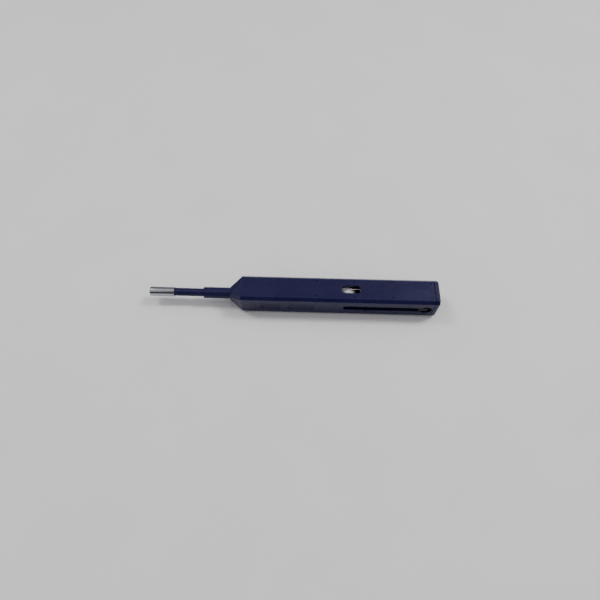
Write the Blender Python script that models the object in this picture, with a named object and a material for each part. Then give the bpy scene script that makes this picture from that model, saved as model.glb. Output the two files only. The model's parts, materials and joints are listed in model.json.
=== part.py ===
"""Push-type fibre connector cleaning pen.

The nozzle points along -X, the pen lies flat on Z = 0 and its slot is on the -Y side.
Sizes are in millimetres until a mesh is made. It is drawn with the nozzle retracted.
"""

from math import cos, pi, radians, sin, tan

import bmesh
import bpy
from mathutils import Matrix, Vector

MM = 0.001

# Outside, from the tip to the rear
WIDTH = 18.5
HEIGHT = 19.5
CHAMFER = 1.9
TIP_OUT = 1.0
SLEEVE_LENGTH = 16.6
TUBE_LENGTH = 20.1
BARREL_LENGTH = 18.0
NOSE_LENGTH = 8.4
BODY_LENGTH = 132.2
CAP_LENGTH = 3.0
NOSE_HALF = 4.35
NOSE_CHAMFER = 2.4
NOSE_EASE = 0.4
REAR_EASE = 0.6

# Walls and clearances
WALL = 1.5
THIN_WALL = 1.0
SPIGOT_WALL = 1.2
GAP = 0.3
SNUG = 0.1
RUNNING = 0.15
EDGE_RADIUS = 0.45
OVER = 1.0

# Radii of the nozzle's parts, outside and inside
SLEEVE_R, SLEEVE_BORE = 3.2, 2.85
TUBE_R, TUBE_BORE = 2.75, 2.05
BARREL_R, BARREL_BORE = 3.85, 2.85
TIP_R = 1.25
SHAFT_R = 1.2
AXLE_R = 1.0
THREAD_R = 0.25
TIP_THREAD_R = 0.2

# Travels
EXTEND = 40.4
STROKE = 12.0

# Stations along X
TIP_X = -(TIP_OUT + SLEEVE_LENGTH + TUBE_LENGTH + BARREL_LENGTH + NOSE_LENGTH + BODY_LENGTH) / 2
SLEEVE_X = TIP_X + TIP_OUT
TUBE_X = SLEEVE_X + SLEEVE_LENGTH
BARREL_X = TUBE_X + TUBE_LENGTH
NOSE_X = BARREL_X + BARREL_LENGTH
BODY_X = NOSE_X + NOSE_LENGTH
REAR_X = BODY_X + BODY_LENGTH
SHELL_END_X = REAR_X - CAP_LENGTH - GAP
CAVITY_X = BODY_X + WALL
CASE_X = CAVITY_X + EXTEND + 1.1
CASE_END_X = SHELL_END_X - 2.05
BULKHEAD_X = BODY_X + 119.85
AXIS_Z = HEIGHT / 2

# Housing section: inner faces, and the seam between the two shells
INNER_HALF = WIDTH / 2 - WALL
INNER_TOP = HEIGHT - WALL
INNER_CHAMFER = 0.8
SEAM_Z = CHAMFER
FLOOR_Z = SEAM_Z - GAP / 2

# Window, slot and dimples of the upper shell
RIM = 0.25
WINDOW_X = BODY_X + 73.55
WINDOW_LENGTH = 13.0
WINDOW_WIDTH = 5.4
SLOT_X = BODY_X + 68.5
SLOT_HEIGHT = 4.4
POCKET_X = BODY_X + 124.35
POCKET_R = 3.9
NOTCH_X = POCKET_X - EXTEND
NOTCH_R = 3.0
DIMPLE_R = 0.75
DIMPLE_DEPTH = 0.5
DIMPLE_Y = 5.6
DIMPLE_PITCH = 25.3
DIMPLE_LAST_X = BODY_X + 126.25
DIMPLES = 6
GROOVE_GROUPS = ((12.4, 8), (31.6, 10))
GROOVE_PITCH = 1.8
GROOVE_WIDTH = 0.8
GROOVE_HEIGHT = 7.6
GROOVE_DEPTH = 0.5

# Snap tabs of the lower shell, measured back from the body's front edge
TAB_STATIONS = (11.45, 51.45, 99.45)
TAB_HALF = 3.0
TAB_ROOT = 0.45
TAB_INSET = 0.1
TAB_THICKNESS = 0.6
TAB_TOP = 5.0

# Tray inside the housing
CASE_HALF = INNER_HALF - GAP
CASE_Z = FLOOR_Z + GAP
CASE_TOP = INNER_TOP - INNER_CHAMFER
CASE_INNER = CASE_HALF - THIN_WALL
CASE_FLOOR = CASE_Z + THIN_WALL

# Carriage inside the tray
CARRIAGE_X = CASE_X + THIN_WALL + GAP
CARRIAGE_END_X = BODY_X + 96.45
CARRIAGE_HALF = 6.1
PLATE = 0.8
CARRIAGE_Z = 4.4
CARRIAGE_TOP = 15.6
FRONT_BLOCK = 1.5
CROSS_WALL_X = BODY_X + 63.35
CROSS_WALL = 1.2
REAR_WALL_X = BODY_X + 94.45
THREAD_HOLE_R = 0.45

# Reels
SUPPLY_X = BODY_X + 71.55
TAKEUP_X = BODY_X + 87.45
REEL_HALF = 4.3
FLANGE = 0.5
ROLL_HALF = REEL_HALF - FLANGE - 0.1
SUPPLY_FLANGE_R = 6.3
SUPPLY_ROLL_R = 5.9
TAKEUP_FLANGE_R = 5.0
TAKEUP_ROLL_R = 3.2
SUPPLY_HUB_R = 2.2
TAKEUP_HUB_R = 2.0
TAKEUP_PLAIN_FLANGE_R = 3.5
SPOOL_BORE = AXLE_R + 0.15
WASHER_Y = (-4.95, -4.6)
WASHER_R, WASHER_BORE = 2.6, 1.15
RATCHET_TEETH = 18
RATCHET_DEPTH = 0.55

# Rack and gear
MODULE = 0.5
GEAR_TEETH = 16
PITCH = MODULE * pi
GEAR_R = MODULE * GEAR_TEETH / 2
ADDENDUM = 0.4
DEDENDUM = 0.6
GEAR_Y = 4.4
GEAR_WIDTH = 0.75

# Helical cam: half a turn in one stroke
CAM_X = BODY_X + 48.45
CAM_END_X = BODY_X + 62.95
CAM_R = 3.6
CAM_FLOOR_R = 2.4
CAM_NOTCH = radians(24)
CAM_TWIST = pi / STROKE
PIN_X = BODY_X + 61.15
PIN_R = 0.6
PIN_TIP = 2.6

# Thread route
THREAD_BORE_OFFSET = 1.65
THREAD_BEND_X = BODY_X + 48.45
THREAD_ENTRY_X = BODY_X + 46.25
THREAD_FRONT_X = TIP_X + 11.15
FRESH_Z = AXIS_Z - SUPPLY_ROLL_R - THREAD_R - SNUG
USED_Z = AXIS_Z + SUPPLY_ROLL_R + THREAD_R + 0.2
USED_Y = 1.9
DROP_X = BODY_X + 80.35
GUIDE_PIN_R = 0.5

# Tip holder, behind the sleeve's mouth
HOLDER_SET = 5.0
HOLDER_LENGTH = 4.6
HOLDER_R, HOLDER_BORE = 1.9, 1.3
HOLDER_SOCKET = 2.0

# Springs: mean radius, wire radius, turns
RETURN_SPRING_R, RETURN_WIRE_R, RETURN_TURNS = 2.4, 0.3, 9
BUTTON_SPRING_R, BUTTON_WIRE_R, BUTTON_TURNS = 1.25, 0.18, 8
GUIDE_ROD_R, SEAT_R, SEAT_THICKNESS = 1.3, 3.6, 0.8

# Release button: a thumb lug that reaches ahead of its stem, into the slot
LUG_AHEAD = 2.2
LUG_HALF_LENGTH, LUG_HALF_HEIGHT, LUG_DEPTH = 3.0, 1.6, 0.65
LUG_SUNK = 0.35
LUG_CORNER = 0.9
RIB_PITCH, RIB_HALF_WIDTH, RIB_HALF_HEIGHT = 1.2, 0.25, 1.2
STEM_R = 1.2
COLLAR_R, COLLAR_THICKNESS = 1.9, 0.6
BUTTON_HOLE_R = 1.5

NAVY = (0.013, 0.015, 0.042)
DARK_NAVY = (0.010, 0.012, 0.032)
BLACK = (0.012, 0.012, 0.014)
STEEL = (0.60, 0.60, 0.62)
WHITE = (0.80, 0.79, 0.76)
IVORY = (0.68, 0.66, 0.60)
BRASS = (0.55, 0.42, 0.20)


# Outlines in two dimensions

def circle_point(centre, radius, angle):
    """One point on a circle."""
    return (centre[0] + radius * cos(angle), centre[1] + radius * sin(angle))


def arc(centre, radius, start, end, steps):
    """Points on a circular arc from one angle to another, both ends included."""
    angles = [start + (end - start) * step / steps for step in range(steps + 1)]
    return [circle_point(centre, radius, angle) for angle in angles]


def circle(centre, radius, segments):
    """Points round a circle, the first not repeated."""
    return arc(centre, radius, 0, 2 * pi * (1 - 1 / segments), segments - 1)


def rectangle(low, high):
    """The corners of a rectangle."""
    return [(low[0], low[1]), (high[0], low[1]), (high[0], high[1]), (low[0], high[1])]


def obround(centre, length, width, steps=10):
    """A slot outline with round ends, lying along its first axis."""
    reach = (length - width) / 2
    right = arc((centre[0] + reach, centre[1]), width / 2, -pi / 2, pi / 2, steps)
    left = arc((centre[0] - reach, centre[1]), width / 2, pi / 2, 3 * pi / 2, steps)
    return right + left


def chamfered(half_width, half_height, chamfer):
    """The eight corners of a section with four cut corners, about the nozzle axis."""
    y, z, c = half_width, half_height, chamfer
    quarter = [(y, z - c), (y - c, z)]
    half = quarter + [(-a, b) for a, b in reversed(quarter)]
    return half + [(-a, -b) for a, b in half]


def filleted(corners, radius, steps=3):
    """The outline with each corner turned into an arc."""
    outline = []
    before = corners[-1:] + corners[:-1]
    after = corners[1:] + corners[:1]
    for previous, corner, following in zip(before, corners, after):
        corner = Vector(corner)
        back = (Vector(previous) - corner).normalized()
        ahead = (Vector(following) - corner).normalized()
        half = back.angle(ahead) / 2
        centre = corner + (back + ahead).normalized() * radius / sin(half)
        start = corner + back * radius / tan(half) - centre
        end = corner + ahead * radius / tan(half) - centre
        turn = start.angle_signed(end)
        for step in range(steps + 1):
            spoke = Matrix.Rotation(-turn * step / steps, 2) @ start
            outline.append(tuple(centre + spoke))
    return outline


# Shapes: a list of points and a list of faces, in millimetres

def placed(axis, along, outline):
    """Put a flat outline at a station on the X, Y or Z axis."""
    if axis == "X":
        return [(along, a, b) for a, b in outline]
    if axis == "Y":
        return [(a, along, b) for a, b in outline]
    return [(a, b, along) for a, b in outline]


def loft(rings):
    """Close a solid through rings that have equally many points."""
    size = len(rings[0])
    points = [point for ring in rings for point in ring]
    faces = [list(range(size)), list(range(len(points) - size, len(points)))]
    for ring in range(len(rings) - 1):
        base = ring * size
        for i in range(size):
            j = (i + 1) % size
            faces.append([base + i, base + j, base + size + j, base + size + i])
    return points, faces


def prism(axis, low, high, outline):
    """Push a flat outline along an axis."""
    return loft([placed(axis, low, outline), placed(axis, high, outline)])


def box(low, high):
    """A block between two corners."""
    return prism("X", low[0], high[0], rectangle(low[1:], high[1:]))


def turned(axis, centre, profile, segments):
    """Turn a closed profile of (station, radius) points about an axis.

    centre holds the two other coordinates. A profile that starts and ends at radius 0
    closes on the axis. Any other profile makes a ring.
    """
    solid = profile[0][1] == 0
    rims = profile[1:-1] if solid else profile
    points = []
    for along, radius in rims:
        points += placed(axis, along, circle(centre, radius, segments))
    faces = []
    rows = len(rims) - 1 if solid else len(rims)
    for row in range(rows):
        base = row * segments
        other = (row + 1) % len(rims) * segments
        for i in range(segments):
            j = (i + 1) % segments
            faces.append([base + i, base + j, other + j, other + i])
    if solid:
        faces.append(list(range(segments)))
        faces.append(list(range(len(points) - segments, len(points))))
    return points, faces


def bar(axis, centre, low, high, radius, segments):
    """A plain round bar."""
    return turned(axis, centre, [(low, 0), (low, radius), (high, radius), (high, 0)], segments)


def pipe(axis, centre, low, high, radius, bore, segments, ease=0.15):
    """A round tube with its outer edges eased."""
    profile = [(low, bore), (low, radius - ease), (low + ease, radius)]
    profile += [(high - ease, radius), (high, radius - ease), (high, bore)]
    return turned(axis, centre, profile, segments)


def swept(route, radius, sides):
    """A round cord along a list of 3-D points."""
    route = [Vector(point) for point in route]
    rings = []
    normal = None
    for index, point in enumerate(route):
        ahead = route[min(index + 1, len(route) - 1)]
        behind = route[max(index - 1, 0)]
        direction = (ahead - behind).normalized()
        if normal is None:
            normal = direction.orthogonal()
        normal = (normal - direction * normal.dot(direction)).normalized()
        across = direction.cross(normal)
        spokes = circle((0, 0), radius, sides)
        rings.append([tuple(point + normal * a + across * b) for a, b in spokes])
    return loft(rings)


def coil(axis, centre, low, high, mean_radius, wire_radius, turns, steps=16, sides=6):
    """A compression spring whose end turns lie closed."""
    route = []
    total = turns * steps
    flat = 1.2 / turns
    closed = 2.2 * wire_radius
    travel = high - low - 2 * wire_radius - 2 * closed
    for step in range(total + 1):
        share = step / total
        ends = (min(share, flat) + max(share - 1 + flat, 0)) / flat
        rise = min(max((share - flat) / (1 - 2 * flat), 0), 1)
        along = low + wire_radius + closed * ends + travel * rise
        spoke = circle_point(centre, mean_radius, 2 * pi * turns * share)
        route.append(placed(axis, along, [spoke])[0])
    return swept(route, wire_radius, sides)


def together(*shapes):
    """Several separate solids as one shape."""
    points, faces = [], []
    for shape_points, shape_faces in shapes:
        start = len(points)
        points += shape_points
        faces += [[start + i for i in face] for face in shape_faces]
    return points, faces


# Objects

PIVOTS = {}


def pivot(name, place, parent=None):
    """An empty on a joint's axis, which carries the pieces that move on it."""
    empty = bpy.data.objects.new(name, None)
    bpy.context.scene.collection.objects.link(empty)
    empty.empty_display_size = 5 * MM
    PIVOTS[name] = Vector(place)
    offset = Vector(place)
    if parent:
        empty.parent = bpy.data.objects[parent]
        offset = offset - PIVOTS[parent]
    empty.location = offset * MM
    return empty


def mesh_from(name, shape, origin):
    """A mesh with outward faces, its points measured from an origin."""
    points, faces = shape
    mesh = bpy.data.meshes.new(name)
    mesh.from_pydata([(Vector(point) - origin) * MM for point in points], [], faces)
    work = bmesh.new()
    work.from_mesh(mesh)
    bmesh.ops.recalc_face_normals(work, faces=work.faces)
    work.to_mesh(mesh)
    work.free()
    return mesh


def material(name, colour, roughness, metallic):
    """A plain Principled material."""
    made = bpy.data.materials.new(name)
    made.use_nodes = True
    shader = made.node_tree.nodes["Principled BSDF"]
    shader.inputs["Base Color"].default_value = (*colour, 1)
    shader.inputs["Roughness"].default_value = roughness
    shader.inputs["Metallic"].default_value = metallic
    made.diffuse_color = (*colour, 1)
    return made


def piece(name, shape, look, on=None, cuts=(), adds=()):
    """One sub-part, with what is fused to it and then what is cut from it."""
    origin = PIVOTS[on] if on else Vector((0, 0, 0))
    made = bpy.data.objects.new(name, mesh_from(name, shape, origin))
    bpy.context.scene.collection.objects.link(made)
    if on:
        made.parent = bpy.data.objects[on]
    for tool in adds:
        combine(made, tool, "UNION", origin)
    for tool in cuts:
        combine(made, tool, "DIFFERENCE", origin)
    made.data.materials.clear()
    made.data.materials.append(material(name, *look))
    made.data.shade_smooth()
    made.data.set_sharp_from_angle(angle=radians(32))
    return made


def combine(target, shape, operation, origin):
    """Fuse or cut a shape, and keep the result as the object's mesh."""
    tool = bpy.data.objects.new("tool", mesh_from("tool", shape, origin))
    bpy.context.scene.collection.objects.link(tool)
    tool.parent = target.parent
    step = target.modifiers.new("cut", "BOOLEAN")
    step.operation = operation
    step.object = tool
    bpy.context.view_layer.update()
    graph = bpy.context.evaluated_depsgraph_get()
    result = bpy.data.meshes.new_from_object(target.evaluated_get(graph))
    target.modifiers.clear()
    target.data = result
    result.name = target.name
    bpy.data.objects.remove(tool)


# Housing

def section(x, inset=0.0):
    """The housing's outer section at a station, drawn in by an inset."""
    corners = chamfered(WIDTH / 2 - inset, HEIGHT / 2 - inset, CHAMFER)
    return placed("X", x, [(y, AXIS_Z + z) for y, z in filleted(corners, EDGE_RADIUS)])


def nose_section(x, inset=0.0):
    """The small section where the nose ends round the barrel."""
    corners = chamfered(NOSE_HALF - inset, NOSE_HALF - inset, NOSE_CHAMFER)
    return placed("X", x, [(y, AXIS_Z + z) for y, z in filleted(corners, EDGE_RADIUS)])


def window_cuts():
    """A round-ended window through the top wall, with an eased rim."""
    low = obround((WINDOW_X, 0), WINDOW_LENGTH, WINDOW_WIDTH)
    high = obround((WINDOW_X, 0), WINDOW_LENGTH + 4 * RIM, WINDOW_WIDTH + 4 * RIM)
    rim = loft([placed("Z", HEIGHT - RIM, low), placed("Z", HEIGHT + RIM, high)])
    return [prism("Z", INNER_TOP - OVER, HEIGHT + OVER, low), rim]


def slot_outline(grow=0.0):
    """The side slot: a round front end, and a rear end inside the round pocket."""
    half = SLOT_HEIGHT / 2 + grow
    outline = arc((SLOT_X + SLOT_HEIGHT / 2, AXIS_Z), half, pi / 2, 3 * pi / 2, 12)
    return outline + [(POCKET_X, AXIS_Z - half), (POCKET_X, AXIS_Z + half)]


def slot_cuts():
    """The slot, its front notch and its pocket through the near wall, with an eased rim."""
    low, high = -WIDTH / 2 - OVER, OVER - INNER_HALF
    slot = prism("Y", low, high, slot_outline())
    notch = bar("Y", (NOTCH_X, AXIS_Z), low, high, NOTCH_R, 32)
    pocket = bar("Y", (POCKET_X, AXIS_Z), low, high, POCKET_R, 40)
    rim = loft([placed("Y", -WIDTH / 2 - RIM, slot_outline(2 * RIM)),
                placed("Y", -WIDTH / 2 + RIM, slot_outline())])
    return [slot, notch, pocket, rim]


def dimples():
    """Two rows of shallow round dimples in the top face."""
    wells = []
    for index in range(DIMPLES):
        x = DIMPLE_LAST_X - index * DIMPLE_PITCH
        for y in (-DIMPLE_Y, DIMPLE_Y):
            wells.append(bar("Z", (x, y), HEIGHT - DIMPLE_DEPTH, HEIGHT + OVER, DIMPLE_R, 16))
    return together(*wells)


def grip_grooves():
    """Two groups of short upright grooves in the near side, ahead of the slot."""
    grooves = []
    for start, count in GROOVE_GROUPS:
        for index in range(count):
            x = BODY_X + start + index * GROOVE_PITCH
            low = (x, -WIDTH, AXIS_Z - GROOVE_HEIGHT / 2)
            high = (x + GROOVE_WIDTH, GROOVE_DEPTH - WIDTH / 2, AXIS_Z + GROOVE_HEIGHT / 2)
            grooves.append(box(low, high))
    return together(*grooves)


def tab(station, side, grow):
    """One snap tab on the lower shell, or its pocket when grown."""
    x = BODY_X + station
    low_y = INNER_HALF + TAB_INSET - grow
    high_y = INNER_HALF + TAB_INSET + TAB_THICKNESS + grow
    ys = sorted((side * low_y, side * high_y))
    low = (x - TAB_HALF - grow, ys[0], FLOOR_Z - TAB_ROOT - grow)
    high = (x + TAB_HALF + grow, ys[1], TAB_TOP + grow)
    return box(low, high)


def tabs(grow=0.0):
    """All snap tabs, or all of their pockets."""
    return together(*[tab(station, side, grow) for station in TAB_STATIONS for side in (-1, 1)])


def upper_shell():
    """Nose, top and side walls in one moulding, open below and behind."""
    outer = loft([nose_section(NOSE_X, NOSE_EASE), nose_section(NOSE_X + NOSE_EASE),
                  section(BODY_X), section(SHELL_END_X)])
    c = INNER_CHAMFER
    hollow = [(-INNER_HALF, -OVER), (INNER_HALF, -OVER), (INNER_HALF, INNER_TOP - c)]
    hollow += [(INNER_HALF - c, INNER_TOP), (c - INNER_HALF, INNER_TOP)]
    hollow += [(-INNER_HALF, INNER_TOP - c)]
    cuts = [prism("X", CAVITY_X, SHELL_END_X + OVER, hollow)]
    cuts += [box((BODY_X, -WIDTH, -OVER), (REAR_X, WIDTH, SEAM_Z + GAP / 2))]
    cuts += [bar("X", (0, AXIS_Z), NOSE_X - OVER, CAVITY_X + OVER, BARREL_R + RUNNING, 48)]
    cuts += window_cuts() + slot_cuts() + [dimples(), tabs(GAP), grip_grooves()]
    piece("upper_shell", outer, (NAVY, 0.42, 0.0), cuts=cuts)


def lower_shell():
    """Base plate with the lower chamfers and the snap tabs."""
    inset = CHAMFER - FLOOR_Z
    corners = [(-WIDTH / 2 + CHAMFER, 0), (WIDTH / 2 - CHAMFER, 0)]
    corners += [(WIDTH / 2 - inset, FLOOR_Z), (-WIDTH / 2 + inset, FLOOR_Z)]
    rounded = filleted(corners, 0.12)
    plate = prism("X", BODY_X + GAP, SHELL_END_X, rounded)
    piece("lower_shell", plate, (NAVY, 0.42, 0.0), adds=[tabs()])


def end_cap():
    """Rear cap with a hollow spigot that plugs the housing."""
    outer = loft([section(SHELL_END_X + GAP), section(REAR_X - REAR_EASE), section(REAR_X, REAR_EASE)])
    low = (CASE_END_X + GAP, -CASE_HALF, CASE_Z)
    high = (SHELL_END_X + OVER, CASE_HALF, CASE_TOP)
    well_low = (CASE_END_X, SPIGOT_WALL - CASE_HALF, CASE_Z + SPIGOT_WALL)
    well_high = (REAR_X - WALL, CASE_HALF - SPIGOT_WALL, CASE_TOP - SPIGOT_WALL)
    piece("end_cap", outer, (NAVY, 0.42, 0.0), adds=[box(low, high)], cuts=[box(well_low, well_high)])


# Tray

def inner_case():
    """Open tray that slides in the housing, with a bulkhead behind the spring."""
    outer = box((CASE_X, -CASE_HALF, CASE_Z), (CASE_END_X, CASE_HALF, CASE_TOP))
    front = box((CASE_X + THIN_WALL, -CASE_INNER, CASE_FLOOR), (BULKHEAD_X, CASE_INNER, HEIGHT))
    rear = box((BULKHEAD_X + THIN_WALL, -CASE_INNER, CASE_FLOOR), (REAR_X, CASE_INNER, HEIGHT))
    mouth = bar("X", (0, AXIS_Z), CASE_X - OVER, CASE_X + THIN_WALL + OVER, BARREL_R + RUNNING, 48)
    pin_hole = bar("Y", (PIN_X, AXIS_Z), CASE_INNER - OVER, CASE_HALF + OVER, PIN_R + 0.2, 16)
    button_hole = bar("Y", (POCKET_X, AXIS_Z), -CASE_HALF - OVER, OVER - CASE_INNER, BUTTON_HOLE_R, 24)
    cuts = [front, rear, mouth, pin_hole, button_hole]
    piece("inner_case", outer, (BLACK, 0.5, 0.0), "tray_slide", cuts=cuts)


def feed_rack():
    """Rack on the floor of the tray, under the take-up gear."""
    pitch_z = AXIS_Z - GEAR_R
    root, tip = pitch_z - DEDENDUM, pitch_z + ADDENDUM
    first = TAKEUP_X - 2 * PITCH
    count = round(STROKE / PITCH) + 5
    outline = [(first - PITCH / 2, CASE_FLOOR + SNUG), (first - PITCH / 2, root)]
    for index in range(count):
        x = first + index * PITCH
        outline += [(x - 0.45, root), (x - 0.18, tip), (x + 0.18, tip), (x + 0.45, root)]
    end = first + (count - 0.5) * PITCH
    outline += [(end, root), (end, CASE_FLOOR + SNUG)]
    rack = prism("Y", GEAR_Y, GEAR_Y + GEAR_WIDTH, outline)
    piece("feed_rack", rack, (IVORY, 0.45, 0.0), "tray_slide")


def cam_pin():
    """Steel pin through the tray's far wall into the cam's groove."""
    pin = bar("Y", (PIN_X, AXIS_Z), PIN_TIP, CASE_HALF - 0.05, PIN_R, 16)
    piece("cam_pin", pin, (STEEL, 0.25, 1.0), "tray_slide")


def slide_button():
    """Thumb lug in the mouth of the pocket, with a stem and a collar behind the tray's wall."""
    face = -WIDTH / 2 + LUG_SUNK
    back = -CASE_INNER
    middle = POCKET_X - LUG_AHEAD
    corners = rectangle((middle - LUG_HALF_LENGTH, AXIS_Z - LUG_HALF_HEIGHT),
                        (middle + LUG_HALF_LENGTH, AXIS_Z + LUG_HALF_HEIGHT))
    head = prism("Y", face, face + LUG_DEPTH, filleted(corners, LUG_CORNER, 5))
    ribs = [box((x - RIB_HALF_WIDTH, face - RIB_HALF_WIDTH, AXIS_Z - RIB_HALF_HEIGHT),
                (x + RIB_HALF_WIDTH, face + LUG_DEPTH / 2, AXIS_Z + RIB_HALF_HEIGHT))
            for x in (middle - RIB_PITCH, middle, middle + RIB_PITCH)]
    stem = bar("Y", (POCKET_X, AXIS_Z), face + LUG_DEPTH / 2, back + COLLAR_THICKNESS, STEM_R, 24)
    collar = bar("Y", (POCKET_X, AXIS_Z), back + SNUG, back + SNUG + COLLAR_THICKNESS, COLLAR_R, 24)
    adds = ribs + [stem, collar]
    piece("slide_button", head, (BLACK, 0.38, 0.0), "button_slide", adds=adds)


def button_spring():
    """Light spring that holds the lug out."""
    low = 2 * SNUG + COLLAR_THICKNESS - CASE_INNER
    spring = coil("Y", (POCKET_X, AXIS_Z), low, CASE_INNER - SNUG,
                  BUTTON_SPRING_R, BUTTON_WIRE_R, BUTTON_TURNS, steps=12)
    piece("button_spring", spring, (STEEL, 0.3, 1.0), "tray_slide")


# Carriage and nozzle

def carriage_frame():
    """Two side plates tied by a front block, a bearing wall and a rear wall."""
    low_z, high_z = CARRIAGE_Z, CARRIAGE_TOP
    inner = CARRIAGE_HALF - PLATE
    outer = box((CARRIAGE_X, -CARRIAGE_HALF, low_z), (CARRIAGE_END_X, CARRIAGE_HALF, high_z))
    cam_room = box((CARRIAGE_X + FRONT_BLOCK, -inner, low_z - OVER), (CROSS_WALL_X, inner, high_z + OVER))
    reel_room = box((CROSS_WALL_X + CROSS_WALL, -inner, low_z - OVER), (REAR_WALL_X, inner, high_z + OVER))
    bearing = bar("X", (0, AXIS_Z), CARRIAGE_X - OVER, CROSS_WALL_X + CROSS_WALL + OVER / 2,
                  SHAFT_R + SNUG, 24)
    cuts = [cam_room, reel_room, bearing]
    for offset in (-THREAD_BORE_OFFSET, THREAD_BORE_OFFSET):
        cuts.append(bar("X", (0, AXIS_Z + offset), CARRIAGE_X - OVER, CARRIAGE_X + FRONT_BLOCK + OVER / 2,
                        THREAD_HOLE_R, 12))
    reach = CARRIAGE_HALF + OVER
    for x in (SUPPLY_X, TAKEUP_X):
        cuts.append(bar("Y", (x, AXIS_Z), -reach, reach, AXLE_R + 0.05, 20))
    travel = obround((PIN_X - STROKE / 2, AXIS_Z), STROKE + 2 * PIN_R + 1, 2 * PIN_R + 0.8, 6)
    cuts.append(prism("Y", inner - OVER, reach, travel))
    rack_top = AXIS_Z - GEAR_R + ADDENDUM + GAP
    cuts.append(box((REAR_WALL_X - OVER, GEAR_Y - GAP, 0), (CARRIAGE_END_X + OVER, inner, rack_top)))
    piece("carriage_frame", outer, (DARK_NAVY, 0.5, 0.0), "carriage_slide", cuts=cuts)


def nozzle():
    """Barrel, tube and polished sleeve, one inside the other."""
    centre = (0, AXIS_Z)
    barrel = pipe("X", centre, BARREL_X, CARRIAGE_X - SNUG, BARREL_R, BARREL_BORE, 48, 0.3)
    tube = pipe("X", centre, SLEEVE_X + 4.8, BARREL_X + 8, TUBE_R, TUBE_BORE, 40)
    sleeve = pipe("X", centre, SLEEVE_X, TUBE_X, SLEEVE_R, SLEEVE_BORE, 48, 0.12)
    piece("nozzle_barrel", barrel, (NAVY, 0.4, 0.0), "carriage_slide")
    piece("nozzle_tube", tube, (NAVY, 0.4, 0.0), "carriage_slide")
    piece("steel_sleeve", sleeve, (STEEL, 0.16, 1.0), "carriage_slide")


def axle(name, x):
    """Steel axle through both side plates."""
    shaft = bar("Y", (x, AXIS_Z), -CARRIAGE_HALF, CARRIAGE_HALF, AXLE_R, 20)
    piece(name, shaft, (STEEL, 0.25, 1.0), "carriage_slide")


def brake_washer():
    """Friction washer beside the supply spool."""
    low, high = WASHER_Y
    profile = [(low, WASHER_BORE), (low, WASHER_R), (high, WASHER_R), (high, WASHER_BORE)]
    ring = turned("Y", (SUPPLY_X, AXIS_Z), profile, 28)
    piece("supply_brake_washer", ring, (BRASS, 0.35, 1.0), "carriage_slide")


def guide_pins():
    """Three pins that the thread bends over."""
    reach = CARRIAGE_HALF - PLATE - SNUG
    inside = GUIDE_PIN_R + THREAD_R + SNUG
    places = [(THREAD_BEND_X + 0.53, FRESH_Z + inside), (THREAD_BEND_X + 0.53, USED_Z - inside)]
    places += [(DROP_X - 0.15, USED_Z - inside)]
    for name, place in zip(("fresh_guide_pin", "used_guide_pin", "takeup_guide_pin"), places):
        pin = bar("Y", place, -reach, reach, GUIDE_PIN_R, 12)
        piece(name, pin, (STEEL, 0.3, 1.0), "carriage_slide")


def cleaning_thread():
    """The fresh run out to the tip, and the used run back over the supply roll."""
    low, high = AXIS_Z - THREAD_BORE_OFFSET, AXIS_Z + THREAD_BORE_OFFSET
    fresh = [(SUPPLY_X, 0, FRESH_Z), (THREAD_BEND_X, 0, FRESH_Z), (THREAD_ENTRY_X, 0, low),
             (CARRIAGE_X, 0, low), (THREAD_FRONT_X, 0, low)]
    end = (TAKEUP_X + 0.6, USED_Y, AXIS_Z + TAKEUP_ROLL_R + THREAD_R + SNUG)
    used = [(THREAD_FRONT_X, 0, high), (CARRIAGE_X, 0, high), (THREAD_ENTRY_X, 0, high),
            (THREAD_BEND_X, 0.2, USED_Z), (SUPPLY_X - 6, USED_Y, USED_Z), (DROP_X, USED_Y, USED_Z), end]
    piece("fresh_thread", swept(fresh, THREAD_R, 8), (WHITE, 0.85, 0.0), "carriage_slide")
    piece("used_thread", swept(used, THREAD_R, 8), (WHITE, 0.85, 0.0), "carriage_slide")


def backstop_pawl():
    """Leaf whose end stands just off the ratchet teeth."""
    root_x = REAR_WALL_X - SNUG
    tip = TAKEUP_FLANGE_R + 0.15
    outline = [(root_x, AXIS_Z + 2.95), (TAKEUP_X + tip, AXIS_Z + 1.15)]
    outline += [(TAKEUP_X + tip - 0.12, AXIS_Z + 1.5), (root_x, AXIS_Z + 3.45)]
    leaf = prism("Y", -REEL_HALF, FLANGE - REEL_HALF, outline)
    piece("backstop_pawl", leaf, (STEEL, 0.3, 1.0), "carriage_slide")


def return_spring_set():
    """Guide rod with a seat disc, and the spring between it and the tray's bulkhead."""
    seat_x = CARRIAGE_END_X + SNUG
    rod_end = BULKHEAD_X - STROKE - 0.5
    seat_end = seat_x + SEAT_THICKNESS
    profile = [(seat_x, 0), (seat_x, SEAT_R), (seat_end, SEAT_R), (seat_end, GUIDE_ROD_R)]
    profile += [(rod_end - 0.5, GUIDE_ROD_R), (rod_end, GUIDE_ROD_R - 0.5), (rod_end, 0)]
    rod = turned("X", (0, AXIS_Z), profile, 24)
    spring = coil("X", (0, AXIS_Z), seat_end + SNUG, BULKHEAD_X - SNUG,
                  RETURN_SPRING_R, RETURN_WIRE_R, RETURN_TURNS)
    piece("spring_guide_rod", rod, (IVORY, 0.45, 0.0), "carriage_slide")
    piece("return_spring", spring, (STEEL, 0.28, 1.0), "carriage_slide")


# Reels

def spool_profile(flange_r, hub_r):
    """Half section of a spool: two flanges, a hub and a bore."""
    bore = SPOOL_BORE
    half, inner = REEL_HALF, REEL_HALF - FLANGE
    profile = [(-half, bore), (-half, flange_r), (-inner, flange_r), (-inner, hub_r)]
    return profile + [(inner, hub_r), (inner, flange_r), (half, flange_r), (half, bore)]


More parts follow.
